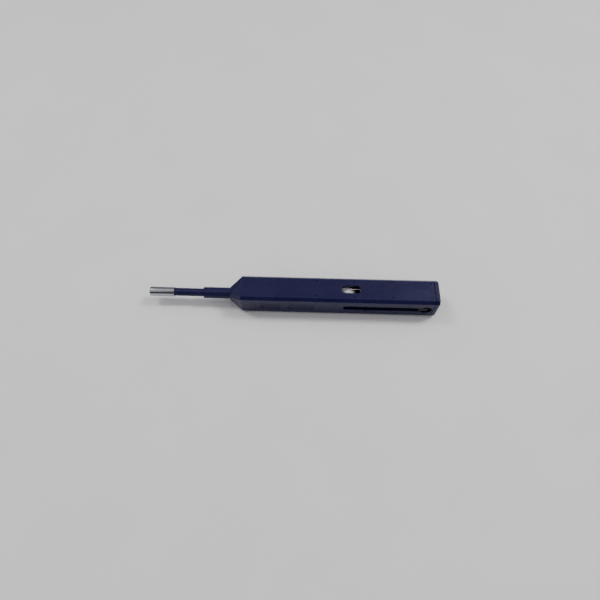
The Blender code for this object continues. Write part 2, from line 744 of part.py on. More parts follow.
def thread_roll(radius, hub_r, crown):
    """Half section of a wound roll, slightly crowned."""
    half = ROLL_HALF
    return [(-half, hub_r), (-half, radius - crown), (-half * 0.6, radius), (half * 0.6, radius),
            (half, radius - crown), (half, hub_r)]


def supply_reel():
    """Spool and roll of fresh thread, behind the window."""
    centre = (SUPPLY_X, AXIS_Z)
    spool = turned("Y", centre, spool_profile(SUPPLY_FLANGE_R, SUPPLY_HUB_R), 40)
    roll = turned("Y", centre, thread_roll(SUPPLY_ROLL_R, SUPPLY_HUB_R + SNUG, 0.15), 40)
    piece("supply_spool", spool, (BLACK, 0.45, 0.0), "supply_axis")
    piece("supply_thread_roll", roll, (WHITE, 0.9, 0.0), "supply_axis")


def ratchet_outline():
    """Saw teeth round the take-up flange."""
    outline = []
    for tooth in range(RATCHET_TEETH):
        start = 2 * pi * tooth / RATCHET_TEETH
        end = start + 2 * pi / RATCHET_TEETH * 0.94
        outline.append(circle_point((TAKEUP_X, AXIS_Z), TAKEUP_FLANGE_R - RATCHET_DEPTH, start))
        outline.append(circle_point((TAKEUP_X, AXIS_Z), TAKEUP_FLANGE_R, end))
    return outline


def gear_outline():
    """Gear teeth with a gap between two teeth pointing straight down."""
    outline = []
    root, tip = GEAR_R - DEDENDUM, GEAR_R + ADDENDUM
    for tooth in range(GEAR_TEETH):
        angle = -pi / 2 + (tooth + 0.5) * 2 * pi / GEAR_TEETH
        for radius, offset in ((root, -0.125), (tip, -0.04), (tip, 0.04), (root, 0.125)):
            outline.append(circle_point((TAKEUP_X, AXIS_Z), radius, angle + offset))
    return outline


def takeup_reel():
    """Ratchet spool, roll of used thread and the gear that the rack turns."""
    centre = (TAKEUP_X, AXIS_Z)
    plain_flange = TAKEUP_PLAIN_FLANGE_R
    profile = spool_profile(TAKEUP_FLANGE_R, TAKEUP_HUB_R)
    profile[1:3] = [(-REEL_HALF, plain_flange), (FLANGE - REEL_HALF, plain_flange)]
    teeth = prism("Y", -REEL_HALF, FLANGE - REEL_HALF, ratchet_outline())
    reach = GEAR_Y + GEAR_WIDTH + OVER
    hole = bar("Y", centre, -reach, reach, SPOOL_BORE, 24)
    spool = turned("Y", centre, profile, 32)
    piece("takeup_spool", spool, (BLACK, 0.45, 0.0), "takeup_axis", adds=[teeth], cuts=[hole])
    roll = turned("Y", centre, thread_roll(TAKEUP_ROLL_R, TAKEUP_HUB_R + SNUG, 0.2), 32)
    piece("takeup_thread_roll", roll, (WHITE, 0.9, 0.0), "takeup_axis")
    gear = prism("Y", GEAR_Y, GEAR_Y + GEAR_WIDTH, gear_outline())
    piece("takeup_gear", gear, (IVORY, 0.4, 0.0), "takeup_axis", cuts=[hole])


# Rotor

def cam_section(x):
    """Cam section at a station: a circle with one notch, turned with the helix."""
    turn = CAM_TWIST * (x - PIN_X)
    rim = arc((0, AXIS_Z), CAM_R, turn + CAM_NOTCH, turn + 2 * pi - CAM_NOTCH, 24)
    notch = arc((0, AXIS_Z), CAM_FLOOR_R, turn - CAM_NOTCH, turn + CAM_NOTCH, 3)
    return placed("X", x, rim + notch)


def rotor():
    """Shaft, helical cam, tip holder, tip, and the thread over the tip."""
    centre = (0, AXIS_Z)
    holder_x = SLEEVE_X + HOLDER_SET
    holder_end = holder_x + HOLDER_LENGTH
    socket = holder_end - HOLDER_SOCKET
    shaft = bar("X", centre, socket + SNUG, CROSS_WALL_X + CROSS_WALL - SNUG, SHAFT_R, 24)
    piece("rotor_shaft", shaft, (STEEL, 0.25, 1.0), "rotor_axis")
    steps = 20
    stations = [CAM_X + (CAM_END_X - CAM_X) * step / steps for step in range(steps + 1)]
    cam = loft([cam_section(x) for x in stations])
    bore = bar("X", centre, CAM_X - OVER, CAM_END_X + OVER, SHAFT_R + SNUG, 24)
    piece("helix_cam", cam, (IVORY, 0.4, 0.0), "rotor_axis", cuts=[bore])
    profile = [(holder_x, 0), (holder_x, HOLDER_R), (holder_end, HOLDER_R)]
    profile += [(holder_end, HOLDER_BORE), (socket, HOLDER_BORE), (socket, 0)]
    holder = turned("X", centre, profile, 28)
    piece("tip_holder", holder, (IVORY, 0.45, 0.0), "rotor_axis")
    front = TIP_X + 2 * TIP_THREAD_R + 0.2
    tip_profile = [(front, 0), (front, 0.75), (front + 0.5, TIP_R), (holder_x - SNUG, TIP_R)]
    tip = turned("X", centre, tip_profile + [(holder_x - SNUG, 0)], 28)
    piece("cleaning_tip", tip, (WHITE, 0.5, 0.0), "rotor_axis")
    piece("tip_thread", tip_loop(holder_x, front), (WHITE, 0.85, 0.0), "rotor_axis")


def tip_loop(holder_x, front):
    """A loop of thread up one side of the tip, across its face and down the other."""
    off = TIP_R + TIP_THREAD_R + 0.08
    nose = front - TIP_THREAD_R - 0.2
    side = [(holder_x - 0.3, 0, off), (front + 0.55, 0, off), (front + 0.1, 0, off - 0.35),
            (nose + 0.06, 0, 0.75), (nose, 0, 0.4)]
    other = [(x, y, -z) for x, y, z in reversed(side)]
    return swept([(x, y, AXIS_Z + z) for x, y, z in side + other], TIP_THREAD_R, 8)


def clear_scene():
    """Remove whatever the scene starts with."""
    for item in list(bpy.data.objects):
        bpy.data.objects.remove(item)


def place_pivots():
    """Empties on the joint axes, nested as the pieces are."""
    pivot("tray_slide", (CASE_X, 0, AXIS_Z))
    pivot("button_slide", (POCKET_X, -CASE_HALF, AXIS_Z), "tray_slide")
    pivot("carriage_slide", (CARRIAGE_X, 0, AXIS_Z), "tray_slide")
    pivot("supply_axis", (SUPPLY_X, 0, AXIS_Z), "carriage_slide")
    pivot("takeup_axis", (TAKEUP_X, 0, AXIS_Z), "carriage_slide")
    pivot("rotor_axis", (CAM_X, 0, AXIS_Z), "carriage_slide")


def main():
    """Model every piece in place."""
    clear_scene()
    place_pivots()
    upper_shell()
    lower_shell()
    end_cap()
    inner_case()
    feed_rack()
    cam_pin()
    slide_button()
    button_spring()
    carriage_frame()
    nozzle()
    axle("supply_axle", SUPPLY_X)
    axle("takeup_axle", TAKEUP_X)
    brake_washer()
    guide_pins()
    cleaning_thread()
    backstop_pawl()
    return_spring_set()
    supply_reel()
    takeup_reel()
    rotor()


main()
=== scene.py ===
"""Looks of the connector cleaning pen: finishes, wound thread, eased edges, light and camera."""

import json
from math import cos, pi, radians, sin

import bmesh
import bpy
from mathutils import Matrix, Vector, noise

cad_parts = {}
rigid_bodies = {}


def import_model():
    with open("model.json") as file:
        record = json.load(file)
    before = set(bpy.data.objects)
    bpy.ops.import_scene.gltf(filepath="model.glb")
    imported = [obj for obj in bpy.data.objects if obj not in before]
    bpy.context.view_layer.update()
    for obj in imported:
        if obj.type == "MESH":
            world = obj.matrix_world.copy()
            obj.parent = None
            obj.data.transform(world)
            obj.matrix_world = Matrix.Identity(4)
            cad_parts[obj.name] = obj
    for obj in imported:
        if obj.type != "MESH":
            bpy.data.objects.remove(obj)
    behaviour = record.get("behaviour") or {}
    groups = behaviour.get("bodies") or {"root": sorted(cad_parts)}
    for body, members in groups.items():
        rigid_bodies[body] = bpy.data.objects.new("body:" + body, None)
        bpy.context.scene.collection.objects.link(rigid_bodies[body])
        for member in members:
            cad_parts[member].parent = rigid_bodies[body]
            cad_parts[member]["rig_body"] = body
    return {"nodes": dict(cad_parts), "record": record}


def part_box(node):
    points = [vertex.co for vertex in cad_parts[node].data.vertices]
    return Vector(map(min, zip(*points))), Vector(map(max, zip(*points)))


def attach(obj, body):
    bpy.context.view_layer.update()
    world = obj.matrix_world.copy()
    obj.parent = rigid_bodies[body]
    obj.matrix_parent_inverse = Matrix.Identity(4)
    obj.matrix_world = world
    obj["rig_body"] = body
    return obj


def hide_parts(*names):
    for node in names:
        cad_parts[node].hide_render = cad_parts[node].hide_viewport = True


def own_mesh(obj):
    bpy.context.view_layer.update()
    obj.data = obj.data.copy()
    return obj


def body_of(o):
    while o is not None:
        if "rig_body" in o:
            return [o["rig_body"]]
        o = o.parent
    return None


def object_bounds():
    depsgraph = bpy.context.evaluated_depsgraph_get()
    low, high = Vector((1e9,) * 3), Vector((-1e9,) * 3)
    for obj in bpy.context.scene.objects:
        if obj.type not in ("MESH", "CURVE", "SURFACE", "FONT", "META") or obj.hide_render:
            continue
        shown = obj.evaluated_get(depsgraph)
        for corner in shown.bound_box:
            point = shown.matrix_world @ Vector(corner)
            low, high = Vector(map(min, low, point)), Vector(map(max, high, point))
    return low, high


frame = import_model()
CAD_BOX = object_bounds()
NODES = frame["nodes"]
SLOTS = {entry["node"]: entry["material_slot"] for entry in frame["record"]["subparts"]}
MM = 0.001

# Housing section, from the frame. The pen lies on z = 0, so its axis is at half its height
LOW, HIGH = (Vector(corner) for corner in CAD_BOX)
BODY_LOW, BODY_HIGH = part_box("upper_shell")
WIDTH = BODY_HIGH.y - BODY_LOW.y
HEIGHT = HIGH.z - LOW.z
AXIS_Z = HEIGHT / 2
CHAMFER = 1.9 * MM

# Rounding of the CAD's edges: clean-up before it, which edges it takes, and its width in mm
MERGE = 0.02 * MM
FLAT = radians(1)
CRISP = radians(28)
EDGE_SEGMENTS = 3
EASED = {"upper_shell": 0.08, "lower_shell": 0.10, "end_cap": 0.12, "slide_button": 0.08,
         "inner_case": 0.12, "carriage_frame": 0.10, "cleaning_tip": 0.12, "tip_holder": 0.12,
         "supply_spool": 0.08, "takeup_gear": 0.05, "feed_rack": 0.03, "spring_guide_rod": 0.10,
         "rotor_shaft": 0.10, "helix_cam": 0.05, "cam_pin": 0.08, "backstop_pawl": 0.02,
         "supply_axle": 0.10, "takeup_axle": 0.10, "supply_brake_washer": 0.05,
         "fresh_guide_pin": 0.08, "used_guide_pin": 0.08, "takeup_guide_pin": 0.08}

# Tubes: rounding of their lips in mm, points on each quarter of a lip, and round the tube
LIPS = {"steel_sleeve": 0.16, "nozzle_tube": 0.20, "nozzle_barrel": 0.35}
QUARTER_STEPS = 4
TUBE_SIDES = 96
SHARP = radians(60)

# Bores of the nozzle's tubes and of the rolls of thread
BORES = {"steel_sleeve": 2.85 * MM, "nozzle_tube": 2.05 * MM, "nozzle_barrel": 2.85 * MM,
         "supply_thread_roll": 2.30 * MM, "takeup_thread_roll": 2.10 * MM}

# Thread: radius, strands, length of one twist, rounding of its corners and length of its steps
THREAD_R = 0.25 * MM
TIP_THREAD_R = 0.2 * MM
STRANDS = 3
STRAND_GROOVE = 0.16
TWIST = 2.4 * MM
TIP_TWIST = 1.6 * MM
BEND = 0.6 * MM
TIP_BEND = 0.25 * MM
STEP = 0.16 * MM
TIP_STEP = 0.08 * MM
MOST_OF_RUN = 0.45
CORD_SIDES = 15
WIRE_SIDES = 10

# Rolls of thread: how uneven the winding is, where its layers lie, and the core below them
WIND_STEPS = 44
OUT_JITTER = 0.05 * MM
OUT_WAVES = 1.7
SIDE_JITTER = 0.06 * MM
SIDE_WAVES = 2.3
SIDE_SHIFT = Vector((9, 0, 0))
CLOSE_PITCH = 1.9 * THREAD_R
CLOSE_DEPTH = 3.0 * THREAD_R
OPEN_DEPTH = 1.35 * THREAD_R
OPEN_TURNS = 9
OPEN_PASSES = 4
OPEN_SPREAD = 0.97
OPEN_PHASE = 0.6
CORE_SPREAD = 0.98
CORE_SIDES = 64
CORE_EASE = 0.15 * MM

# Springs: wire, turns and travel, and their closed ends in turns and in wire radii
RETURN_WIRE_R = 0.3 * MM
RETURN_TURNS = 9
BUTTON_WIRE_R = 0.18 * MM
BUTTON_TURNS = 8
COIL_STEPS = 28
CLOSED_TURNS = 1.2
CLOSED_RISE = 2.2

# Colours, linear
NAVY = (0.0095, 0.0085, 0.0500)
# Lighter navy: random worn tones, dust and scratches, and also the painted highlight on the
# housing's long edges
NAVY_WEAR_AND_HIGHLIGHT = (0.0120, 0.0110, 0.0570)
DARK_NAVY = (0.0060, 0.0070, 0.0200)
DARK_NAVY_WORN = (0.0090, 0.0100, 0.0260)
BLACK = (0.0080, 0.0080, 0.0100)
BLACK_WORN = (0.0120, 0.0120, 0.0140)
STEEL = (0.43, 0.44, 0.48)
STEEL_RIM = (0.50, 0.51, 0.56)
WIRE = (0.32, 0.32, 0.33)
IVORY = (0.62, 0.59, 0.53)
IVORY_WORN = (0.56, 0.53, 0.47)
BRASS = (0.60, 0.45, 0.20)
TIP_WHITE = (0.80, 0.79, 0.77)
THREAD_WHITE = (0.95, 0.91, 0.96)
THREAD_SHADE = (0.84, 0.79, 0.85)
TABLE = (0.875, 0.870, 0.885)
TABLE_PALE = (0.900, 0.895, 0.905)

# Keys: side, name and brightness
KEYS = ((-1, "left", 16.5), (1, "right", 26.5))

# Room: each row maps a direction, from and to, on to a brightness, from and to
OVERHEAD = (0.35, 0.80, 0.10, 1.00)
OVERHEAD_BACK = (-0.50, 0.30, 0.14, 0.66)
HORIZON = (0.10, 0.36, 1.00, 0.15)
HORIZON_BACK = (-0.20, 0.50, 0.28, 0.40)

# Camera: height above the table in degrees, turn about the vertical, distance and aim
PITCH = radians(62.6)
YAW = radians(1.67)
DISTANCE = 323.0 * MM
AIM_X = 5.29 * MM
AIM_Y = 1.10 * MM
LENS = 27.516
SENSOR = 36.0


# Node helpers

class Graph:
    """The node tree of a material or of the world, with short calls for the nodes used here."""

    def __init__(self, owner, shader="Principled BSDF", space="Object"):
        owner.use_nodes = True
        self.owner = owner
        self.tree = owner.node_tree
        self.shader = self.tree.nodes[shader]
        self.place = self.tree.nodes.new("ShaderNodeTexCoord").outputs[space]

    def link(self, value, socket):
        """Join an output to an input, or set a plain value on it."""
        if isinstance(value, bpy.types.NodeSocket):
            self.tree.links.new(value, socket)
        else:
            socket.default_value = value

    def math(self, operation, first, second=0.0):
        """One Math node."""
        node = self.tree.nodes.new("ShaderNodeMath")
        node.operation = operation
        self.link(first, node.inputs[0])
        self.link(second, node.inputs[1])
        return node.outputs[0]

    def noise(self, size, detail=3.0, stretch=(1, 1, 1), warp=0.0):
        """Noise whose features are about size metres across, finer where stretch is large."""
        spread = self.tree.nodes.new("ShaderNodeMapping")
        self.link(self.place, spread.inputs["Vector"])
        spread.inputs["Scale"].default_value = [s / size for s in stretch]
        node = self.tree.nodes.new("ShaderNodeTexNoise")
        self.link(spread.outputs["Vector"], node.inputs["Vector"])
        node.inputs["Scale"].default_value = 1.0
        node.inputs["Detail"].default_value = detail
        node.inputs["Distortion"].default_value = warp
        return node.outputs["Fac"]

    def band(self, value, low, high, out_low=0.0, out_high=1.0):
        """Map a range of a value smoothly on to another."""
        node = self.tree.nodes.new("ShaderNodeMapRange")
        node.interpolation_type = "SMOOTHSTEP"
        for number, socket in zip((value, low, high, out_low, out_high), node.inputs):
            self.link(number, socket)
        return node.outputs["Result"]

    def mix(self, share, first, second):
        """Blend two colours."""
        node = self.tree.nodes.new("ShaderNodeMix")
        node.data_type = "RGBA"
        self.link(share, node.inputs["Factor"])
        for value, name in ((first, "A"), (second, "B")):
            socket = [s for s in node.inputs if s.name == name and s.type == "RGBA"][0]
            self.link((*value, 1) if isinstance(value, tuple) else value, socket)
        return [s for s in node.outputs if s.type == "RGBA"][0]

    def bump(self, height, distance, strength):
        """Turn a height into a bumped normal."""
        node = self.tree.nodes.new("ShaderNodeBump")
        self.link(height, node.inputs["Height"])
        node.inputs["Distance"].default_value = distance
        node.inputs["Strength"].default_value = strength
        return node.outputs["Normal"]

    def split(self):
        """The three coordinates."""
        node = self.tree.nodes.new("ShaderNodeSeparateXYZ")
        self.link(self.place, node.inputs[0])
        return node.outputs

    def finish(self, colour, roughness, normal=None, **plain):
        """Wire the shader, and set its plain values."""
        self.link(colour, self.shader.inputs["Base Color"])
        self.link(roughness, self.shader.inputs["Roughness"])
        if normal:
            self.link(normal, self.shader.inputs["Normal"])
        for name, value in plain.items():
            self.shader.inputs[name.replace("_", " ")].default_value = value
        return self.owner


def new_finish(name, space="Object"):
    """The graph of a new material."""
    return Graph(bpy.data.materials.new(name), space=space)


def lighter(colour, factor):
    """A colour brightened, up to white."""
    return tuple(min(1.0, factor * channel) for channel in colour)


# Finishes

def edge_wear_and_highlight_mask(g):
    """1 on the long edges of the housing, fading within half a millimetre: where rubbed wear and a
    painted edge highlight lighten the colour.
    """
    _, y, z = g.split()
    side = g.math("ABSOLUTE", y)
    middle = g.math("ABSOLUTE", g.math("SUBTRACT", z, AXIS_Z))
    total = 0.0
    for edge_y, edge_z in ((WIDTH / 2 - CHAMFER, HEIGHT / 2), (WIDTH / 2, HEIGHT / 2 - CHAMFER)):
        dy = g.math("SUBTRACT", side, edge_y)
        dz = g.math("SUBTRACT", middle, edge_z)
        far = g.math("SQRT", g.math("ADD", g.math("MULTIPLY", dy, dy), g.math("MULTIPLY", dz, dz)))
        total = g.math("MAXIMUM", total, g.band(far, 0.15 * MM, 0.55 * MM, 1.0, 0.0))
    return total


def moulded(name, colour, wear_and_highlight, roughness, gloss=0.5, edges=False):
    """Fine-textured moulding with handling marks, hair scratches, and rubbed edges whose
    lightening is partly wear and partly a painted edge highlight.
    """
    g = new_finish(name)
    cloud = g.noise(14 * MM, 4, stretch=(0.6, 1, 1))
    tone = g.mix(g.band(cloud, 0.3, 0.7), colour, wear_and_highlight)
    grain = g.noise(0.16 * MM, 2)
    dust = g.band(g.noise(0.5 * MM, 1), 0.72, 0.80)
    tone = g.mix(g.math("MULTIPLY", dust, 0.2), tone, lighter(wear_and_highlight, 2.2))
    along = g.band(g.noise(0.22 * MM, 2, stretch=(0.02, 1, 1), warp=0.6), 0.66, 0.72)
    across = g.band(g.noise(0.25 * MM, 2, stretch=(0.6, 0.03, 0.6), warp=0.4), 0.70, 0.76)
    handled = g.band(g.noise(7 * MM, 3), 0.45, 0.65)
    scratches = g.math("MULTIPLY", g.math("MAXIMUM", along, across), handled)
    tone = g.mix(g.math("MULTIPLY", scratches, 0.2), tone, lighter(wear_and_highlight, 3.0))
    rough = g.band(g.noise(9 * MM, 5, warp=0.5), 0.3, 0.7, roughness - 0.03, roughness + 0.05)
    rough = g.math("ADD", rough, g.math("MULTIPLY", g.math("SUBTRACT", grain, 0.5), 0.08))
    if edges:
        # Long edges lightened in colour, partly as rubbed wear and partly as a painted edge
        # highlight; also made a little smoother
        rub_and_highlight = g.math("MULTIPLY", edge_wear_and_highlight_mask(g), g.band(g.noise(2.5 * MM, 4), 0.35, 0.7, 0.2, 1.0))
        tone = g.mix(g.math("MULTIPLY", rub_and_highlight, 0.35), tone, lighter(wear_and_highlight, 2.2))
        rough = g.math("SUBTRACT", rough, g.math("MULTIPLY", rub_and_highlight, 0.06))
    height = g.math("SUBTRACT", grain, g.math("MULTIPLY", scratches, 0.6))
    normal = g.bump(height, 0.010 * MM, 0.7)
    return g.finish(tone, rough, normal, IOR=1.46, Specular_IOR_Level=gloss)


def turned_metal(name, colour, roughness, wear=1.0, rim=(1.0, 1.0, 1.0)):
    """Drawn or turned metal with fine rings round X and a few longer scratches."""
    g = new_finish(name)
    rings = g.noise(0.05 * MM, 2, stretch=(1, 0.02, 0.02))
    streaks = g.band(g.noise(0.12 * MM, 2, stretch=(0.03, 1, 1), warp=0.3), 0.64, 0.74)
    smear = g.noise(3 * MM, 3)
    rough = g.band(rings, 0.3, 0.7, roughness - 0.03 * wear, roughness + 0.05 * wear)
    rough = g.math("ADD", rough, g.math("MULTIPLY", streaks, 0.08 * wear))
    rough = g.math("ADD", rough, g.band(smear, 0.45, 0.7, 0.0, 0.04 * wear))
    tone = g.mix(g.band(smear, 0.3, 0.7), colour, lighter(colour, 0.88))
    height = g.math("SUBTRACT", rings, g.math("MULTIPLY", streaks, 0.5))
    normal = g.bump(height, 0.0012 * MM, 0.5 * wear)
    return g.finish(tone, rough, normal, Metallic=1.0, Specular_Tint=(*rim, 1))


def fibre(name, colour, shade):
    """Soft matt yarn: fine filaments along the thread, a little lint and grime.

    The mesh's UV map runs along the thread and round it, in metres.
    """
    g = new_finish(name, "UV")
    hairs = g.noise(0.035 * MM, 3, stretch=(0.06, 1, 1), warp=0.5)
    soil = g.band(g.noise(2.5 * MM, 4, stretch=(1, 2, 1)), 0.5, 0.8)
    tone = g.mix(g.band(hairs, 0.35, 0.6), shade, colour)
    tone = g.mix(g.math("MULTIPLY", soil, 0.15), tone, lighter(shade, 0.85))
    rough = g.band(hairs, 0.3, 0.7, 0.78, 0.95)
    normal = g.bump(hairs, 0.02 * MM, 0.8)
    return g.finish(tone, rough, normal, Sheen_Weight=0.3, Sheen_Roughness=0.5)


def ceramic(name, colour):
    """Smooth pale moulded tip with slight waviness."""
    g = new_finish(name)
    tone = g.mix(g.band(g.noise(1.0 * MM, 4), 0.3, 0.7), colour, lighter(colour, 0.93))
    rough = g.band(g.noise(0.3 * MM, 3), 0.3, 0.7, 0.32, 0.46)
    return g.finish(tone, rough, g.bump(g.noise(0.1 * MM, 2), 0.004 * MM, 0.7), IOR=1.52)


def make_finishes():
    """One material for each slot of the record."""
    return {
        "navy_plastic": moulded("navy_plastic", NAVY, NAVY_WEAR_AND_HIGHLIGHT, 0.28, 0.22, edges=True),
        "dark_plastic": moulded("dark_plastic", DARK_NAVY, DARK_NAVY_WORN, 0.45),
        "black_plastic": moulded("black_plastic", BLACK, BLACK_WORN, 0.40, 0.25),
        "polished_steel": turned_metal("polished_steel", STEEL, 0.09, 0.4, STEEL_RIM),
        "spring_steel": turned_metal("spring_steel", WIRE, 0.24),
        "ivory_plastic": moulded("ivory_plastic", IVORY, IVORY_WORN, 0.42),
        "white_tip": ceramic("white_tip", TIP_WHITE),
        "white_thread": fibre("white_thread", THREAD_WHITE, THREAD_SHADE),
        "brass": turned_metal("brass", BRASS, 0.26),
    }


FINISHES = make_finishes()


def paint_nodes():
    """Give every CAD node the finish of its record slot."""
    for name, node in NODES.items():
        node.data.materials.clear()
        node.data.materials.append(FINISHES[SLOTS[name]])


# Pieces

def stand_in(name, mesh, node, body=None):
    """A detailed piece in the place of a CAD node, with its finish and on its body."""
    mesh.materials.clear()
    mesh.materials.append(FINISHES[SLOTS[node]])
    made = bpy.data.objects.new(name, mesh)
    bpy.context.scene.collection.objects.link(made)
    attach(made, body or body_of(NODES[node])[0])
    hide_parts(node)
    return made


def level_faces(piece):
    """Keep broad faces flat in the shading, so that only the rounded edges turn."""
    level = piece.modifiers.new("flat_faces", "WEIGHTED_NORMAL")
    level.weight = 100


def eased(node, width):
    """A copy of a CAD node with every crisp edge rounded."""
    work = bmesh.new()
    work.from_mesh(NODES[node].data)
    bmesh.ops.remove_doubles(work, verts=work.verts, dist=MERGE)
    bmesh.ops.dissolve_limit(work, angle_limit=FLAT, verts=work.verts, edges=work.edges)
    crisp = [edge for edge in work.edges if edge.calc_face_angle(0) > CRISP]
    bmesh.ops.bevel(work, geom=crisp, offset=width, offset_type="OFFSET", profile=0.5,
                    segments=EDGE_SEGMENTS, affect="EDGES", clamp_overlap=False)
    for face in work.faces:
        face.smooth = True
    mesh = bpy.data.meshes.new(node + "_eased")
    work.to_mesh(mesh)
    work.free()
    level_faces(stand_in(node + "_eased", mesh, node))


def grid_mesh(name, rows, closed_rows, uv):
    """A mesh through rows of points that each close on themselves, with a UV for each corner."""
    size = len(rows[0])
    points = [point for row in rows for point in row]
    faces, corners = [], []
    for i in range(len(rows) - (0 if closed_rows else 1)):
        j = (i + 1) % len(rows)
        for k in range(size):
            n = (k + 1) % size
            faces.append([i * size + k, i * size + n, j * size + n, j * size + k])
            corners += [uv(i, k), uv(i, k + 1), uv(i + 1, k + 1), uv(i + 1, k)]
    if not closed_rows:
        for start in (0, len(points) - size):
            faces.append(list(range(start, start + size)))
            corners += [(0.0, 0.0)] * size
    mesh = bpy.data.meshes.new(name)
    mesh.from_pydata(points, [], faces)
    layer = mesh.uv_layers.new(name="UVMap")
    for loop, corner in zip(layer.data, corners):
        loop.uv = corner
    work = bmesh.new()
    work.from_mesh(mesh)
    bmesh.ops.recalc_face_normals(work, faces=work.faces)
    work.to_mesh(mesh)
    work.free()
    mesh.shade_smooth()
    mesh.set_sharp_from_angle(angle=SHARP)
    return mesh


def swept(name, route, radius, sides, lobes=0, lay=1.0):
    """A cord along a route. Lobes make it a twisted cord, one turn in each length of lay."""
    rows, along = [], [0.0]
    normal = (route[1] - route[0]).orthogonal().normalized()
    for index, point in enumerate(route):
        direction = (route[min(index + 1, len(route) - 1)] - route[max(index - 1, 0)]).normalized()
        normal = (normal - direction * normal.dot(direction)).normalized()
        other = direction.cross(normal)
        if index:
            along.append(along[-1] + (point - route[index - 1]).length)
        row = []
        for side in range(sides):
            angle = 2 * pi * side / sides
            swell = 1 - STRAND_GROOVE * abs(sin(lobes * angle / 2)) if lobes else 1.0
            spin = angle + 2 * pi * along[-1] / lay
            row.append(point + (normal * cos(spin) + other * sin(spin)) * radius * swell)
        rows.append(row)
    girth = 2 * pi * radius
    return grid_mesh(name, rows, False, lambda i, k: (along[i], girth * k / sides))


def smooth_route(corners, reach, step):
    """Points along straight runs, with each corner rounded over a reach."""
    runs = []
    for index, corner in enumerate(corners):
        if index in (0, len(corners) - 1):
            runs.append(corner)
            continue
        back = corners[index - 1] - corner
        ahead = corners[index + 1] - corner
        cut = min(reach, back.length * MOST_OF_RUN, ahead.length * MOST_OF_RUN)
        first, last = corner + back.normalized() * cut, corner + ahead.normalized() * cut
        for share in (0, 0.25, 0.5, 0.75, 1):
            runs.append(first.lerp(corner, share).lerp(corner.lerp(last, share), share))
    points = [runs[0]]
    for start, end in zip(runs, runs[1:]):
        count = max(1, round((end - start).length / step))
        points += [start.lerp(end, i / count) for i in range(1, count + 1)]
    return points


def coil_route(low, high, axis, wire, turns):
    """Centre line of a compression spring with closed end turns, between two corners."""
    centre = (low + high) / 2
    start, end = low[axis], high[axis]
    across = [(axis + 1) % 3, (axis + 2) % 3]
    radius = (high[across[0]] - low[across[0]]) / 2 - wire
    flat = CLOSED_TURNS / turns
    closed = CLOSED_RISE * wire
    travel = end - start - 2 * wire - 2 * closed
    route = []
    for step in range(turns * COIL_STEPS + 1):
        share = step / (turns * COIL_STEPS)
        ends = (min(share, flat) + max(share - 1 + flat, 0)) / flat
        rise = min(max((share - flat) / (1 - 2 * flat), 0), 1)
        point = centre.copy()
        point[axis] = start + wire + closed * ends + travel * rise
        point[across[0]] += radius * cos(2 * pi * turns * share)
        point[across[1]] += radius * sin(2 * pi * turns * share)
        route.append(point)
    return route


def spring(node, axis, wire, turns):
    """A finely drawn spring in the place of a CAD node, on the tray's body."""
    low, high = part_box(node)
    mesh = swept(node + "_wire", coil_route(low, high, axis, wire, turns), wire, WIRE_SIDES)
    made = stand_in(node + "_wire", mesh, node, body="tray")
    along = Vector((0, 0, 0))
    along[axis] = 1
    seat = (low + high) / 2
    seat[axis] = high[axis]
    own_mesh(made)


def ring_profile(low, high, outer, inner, ease):
    """Half section of a tube with rounded lips, as (station, radius) points."""
    corners = [(high - ease, outer - ease, 0), (low + ease, outer - ease, 1),
               (low + ease, inner + ease, 2), (high - ease, inner + ease, 3)]
    profile = []
    for x, r, quarter in corners:
        for step in range(QUARTER_STEPS + 1):
            angle = pi / 2 * (quarter + step / QUARTER_STEPS)
            profile.append((x + ease * cos(angle), r + ease * sin(angle)))
    return profile


def tube(node, ease):
    """One tube of the nozzle, turned with rounded lips."""
    low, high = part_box(node)
    outer = (high.z - low.z) / 2
    turn = [2 * pi * k / TUBE_SIDES for k in range(TUBE_SIDES)]
    rows = []
    for x, r in ring_profile(low.x, high.x, outer, BORES[node], ease):
        rows.append([Vector((x, r * cos(a), AXIS_Z + r * sin(a))) for a in turn])
    mesh = grid_mesh(node + "_turned", rows, True, lambda i, k: (i * MM, k * MM))
    level_faces(stand_in(node + "_turned", mesh, node))


def winding(centre, half, radius, turns, passes, phase):
    """Points of a thread wound round the Y axis, going to and fro across a width."""
    route = []
    for step in range(turns * WIND_STEPS + 1):
        share = passes * step / (turns * WIND_STEPS)
        sweep = 1 - 2 * abs((share % 2) - 1)
        angle = 2 * pi * step / WIND_STEPS + phase
        place = Vector((cos(angle), 4 * sweep, sin(angle)))
        out = radius + OUT_JITTER * noise.noise(place * OUT_WAVES)
        side = half * sweep + SIDE_JITTER * noise.noise(place * SIDE_WAVES + SIDE_SHIFT)
        route.append(centre + Vector((out * cos(angle), side, out * sin(angle))))
    return route


def joined(name, meshes):
    """Several meshes as one."""
    work = bmesh.new()
    for mesh in meshes:
        work.from_mesh(mesh)
    whole = bpy.data.meshes.new(name)
    work.to_mesh(whole)
    work.free()
    return whole


def wound_roll(node):
    """A roll of thread: a close layer under an open crossing layer, over a plain core."""
    low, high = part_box(node)
    centre = (low + high) / 2
    half, radius = (high.y - low.y) / 2, (high.z - low.z) / 2
    inside = half - THREAD_R
    close_turns = round(2 * inside / CLOSE_PITCH)
    close_r, open_r = radius - CLOSE_DEPTH, radius - OPEN_DEPTH
    even = winding(centre, inside, close_r, close_turns, 1, 0)
    close = swept("close_layer", even, THREAD_R, WIRE_SIDES)
    spread = inside * OPEN_SPREAD
    crossing = winding(centre, spread, open_r, OPEN_TURNS, OPEN_PASSES, OPEN_PHASE)
    open_layer = swept("open_layer", crossing, THREAD_R, WIRE_SIDES)
    core = core_mesh(centre, half * CORE_SPREAD, close_r, BORES[node])
    mesh = joined(node + "_wound", [close, open_layer, core])
    mesh.shade_smooth()
    stand_in(node + "_wound", mesh, node)


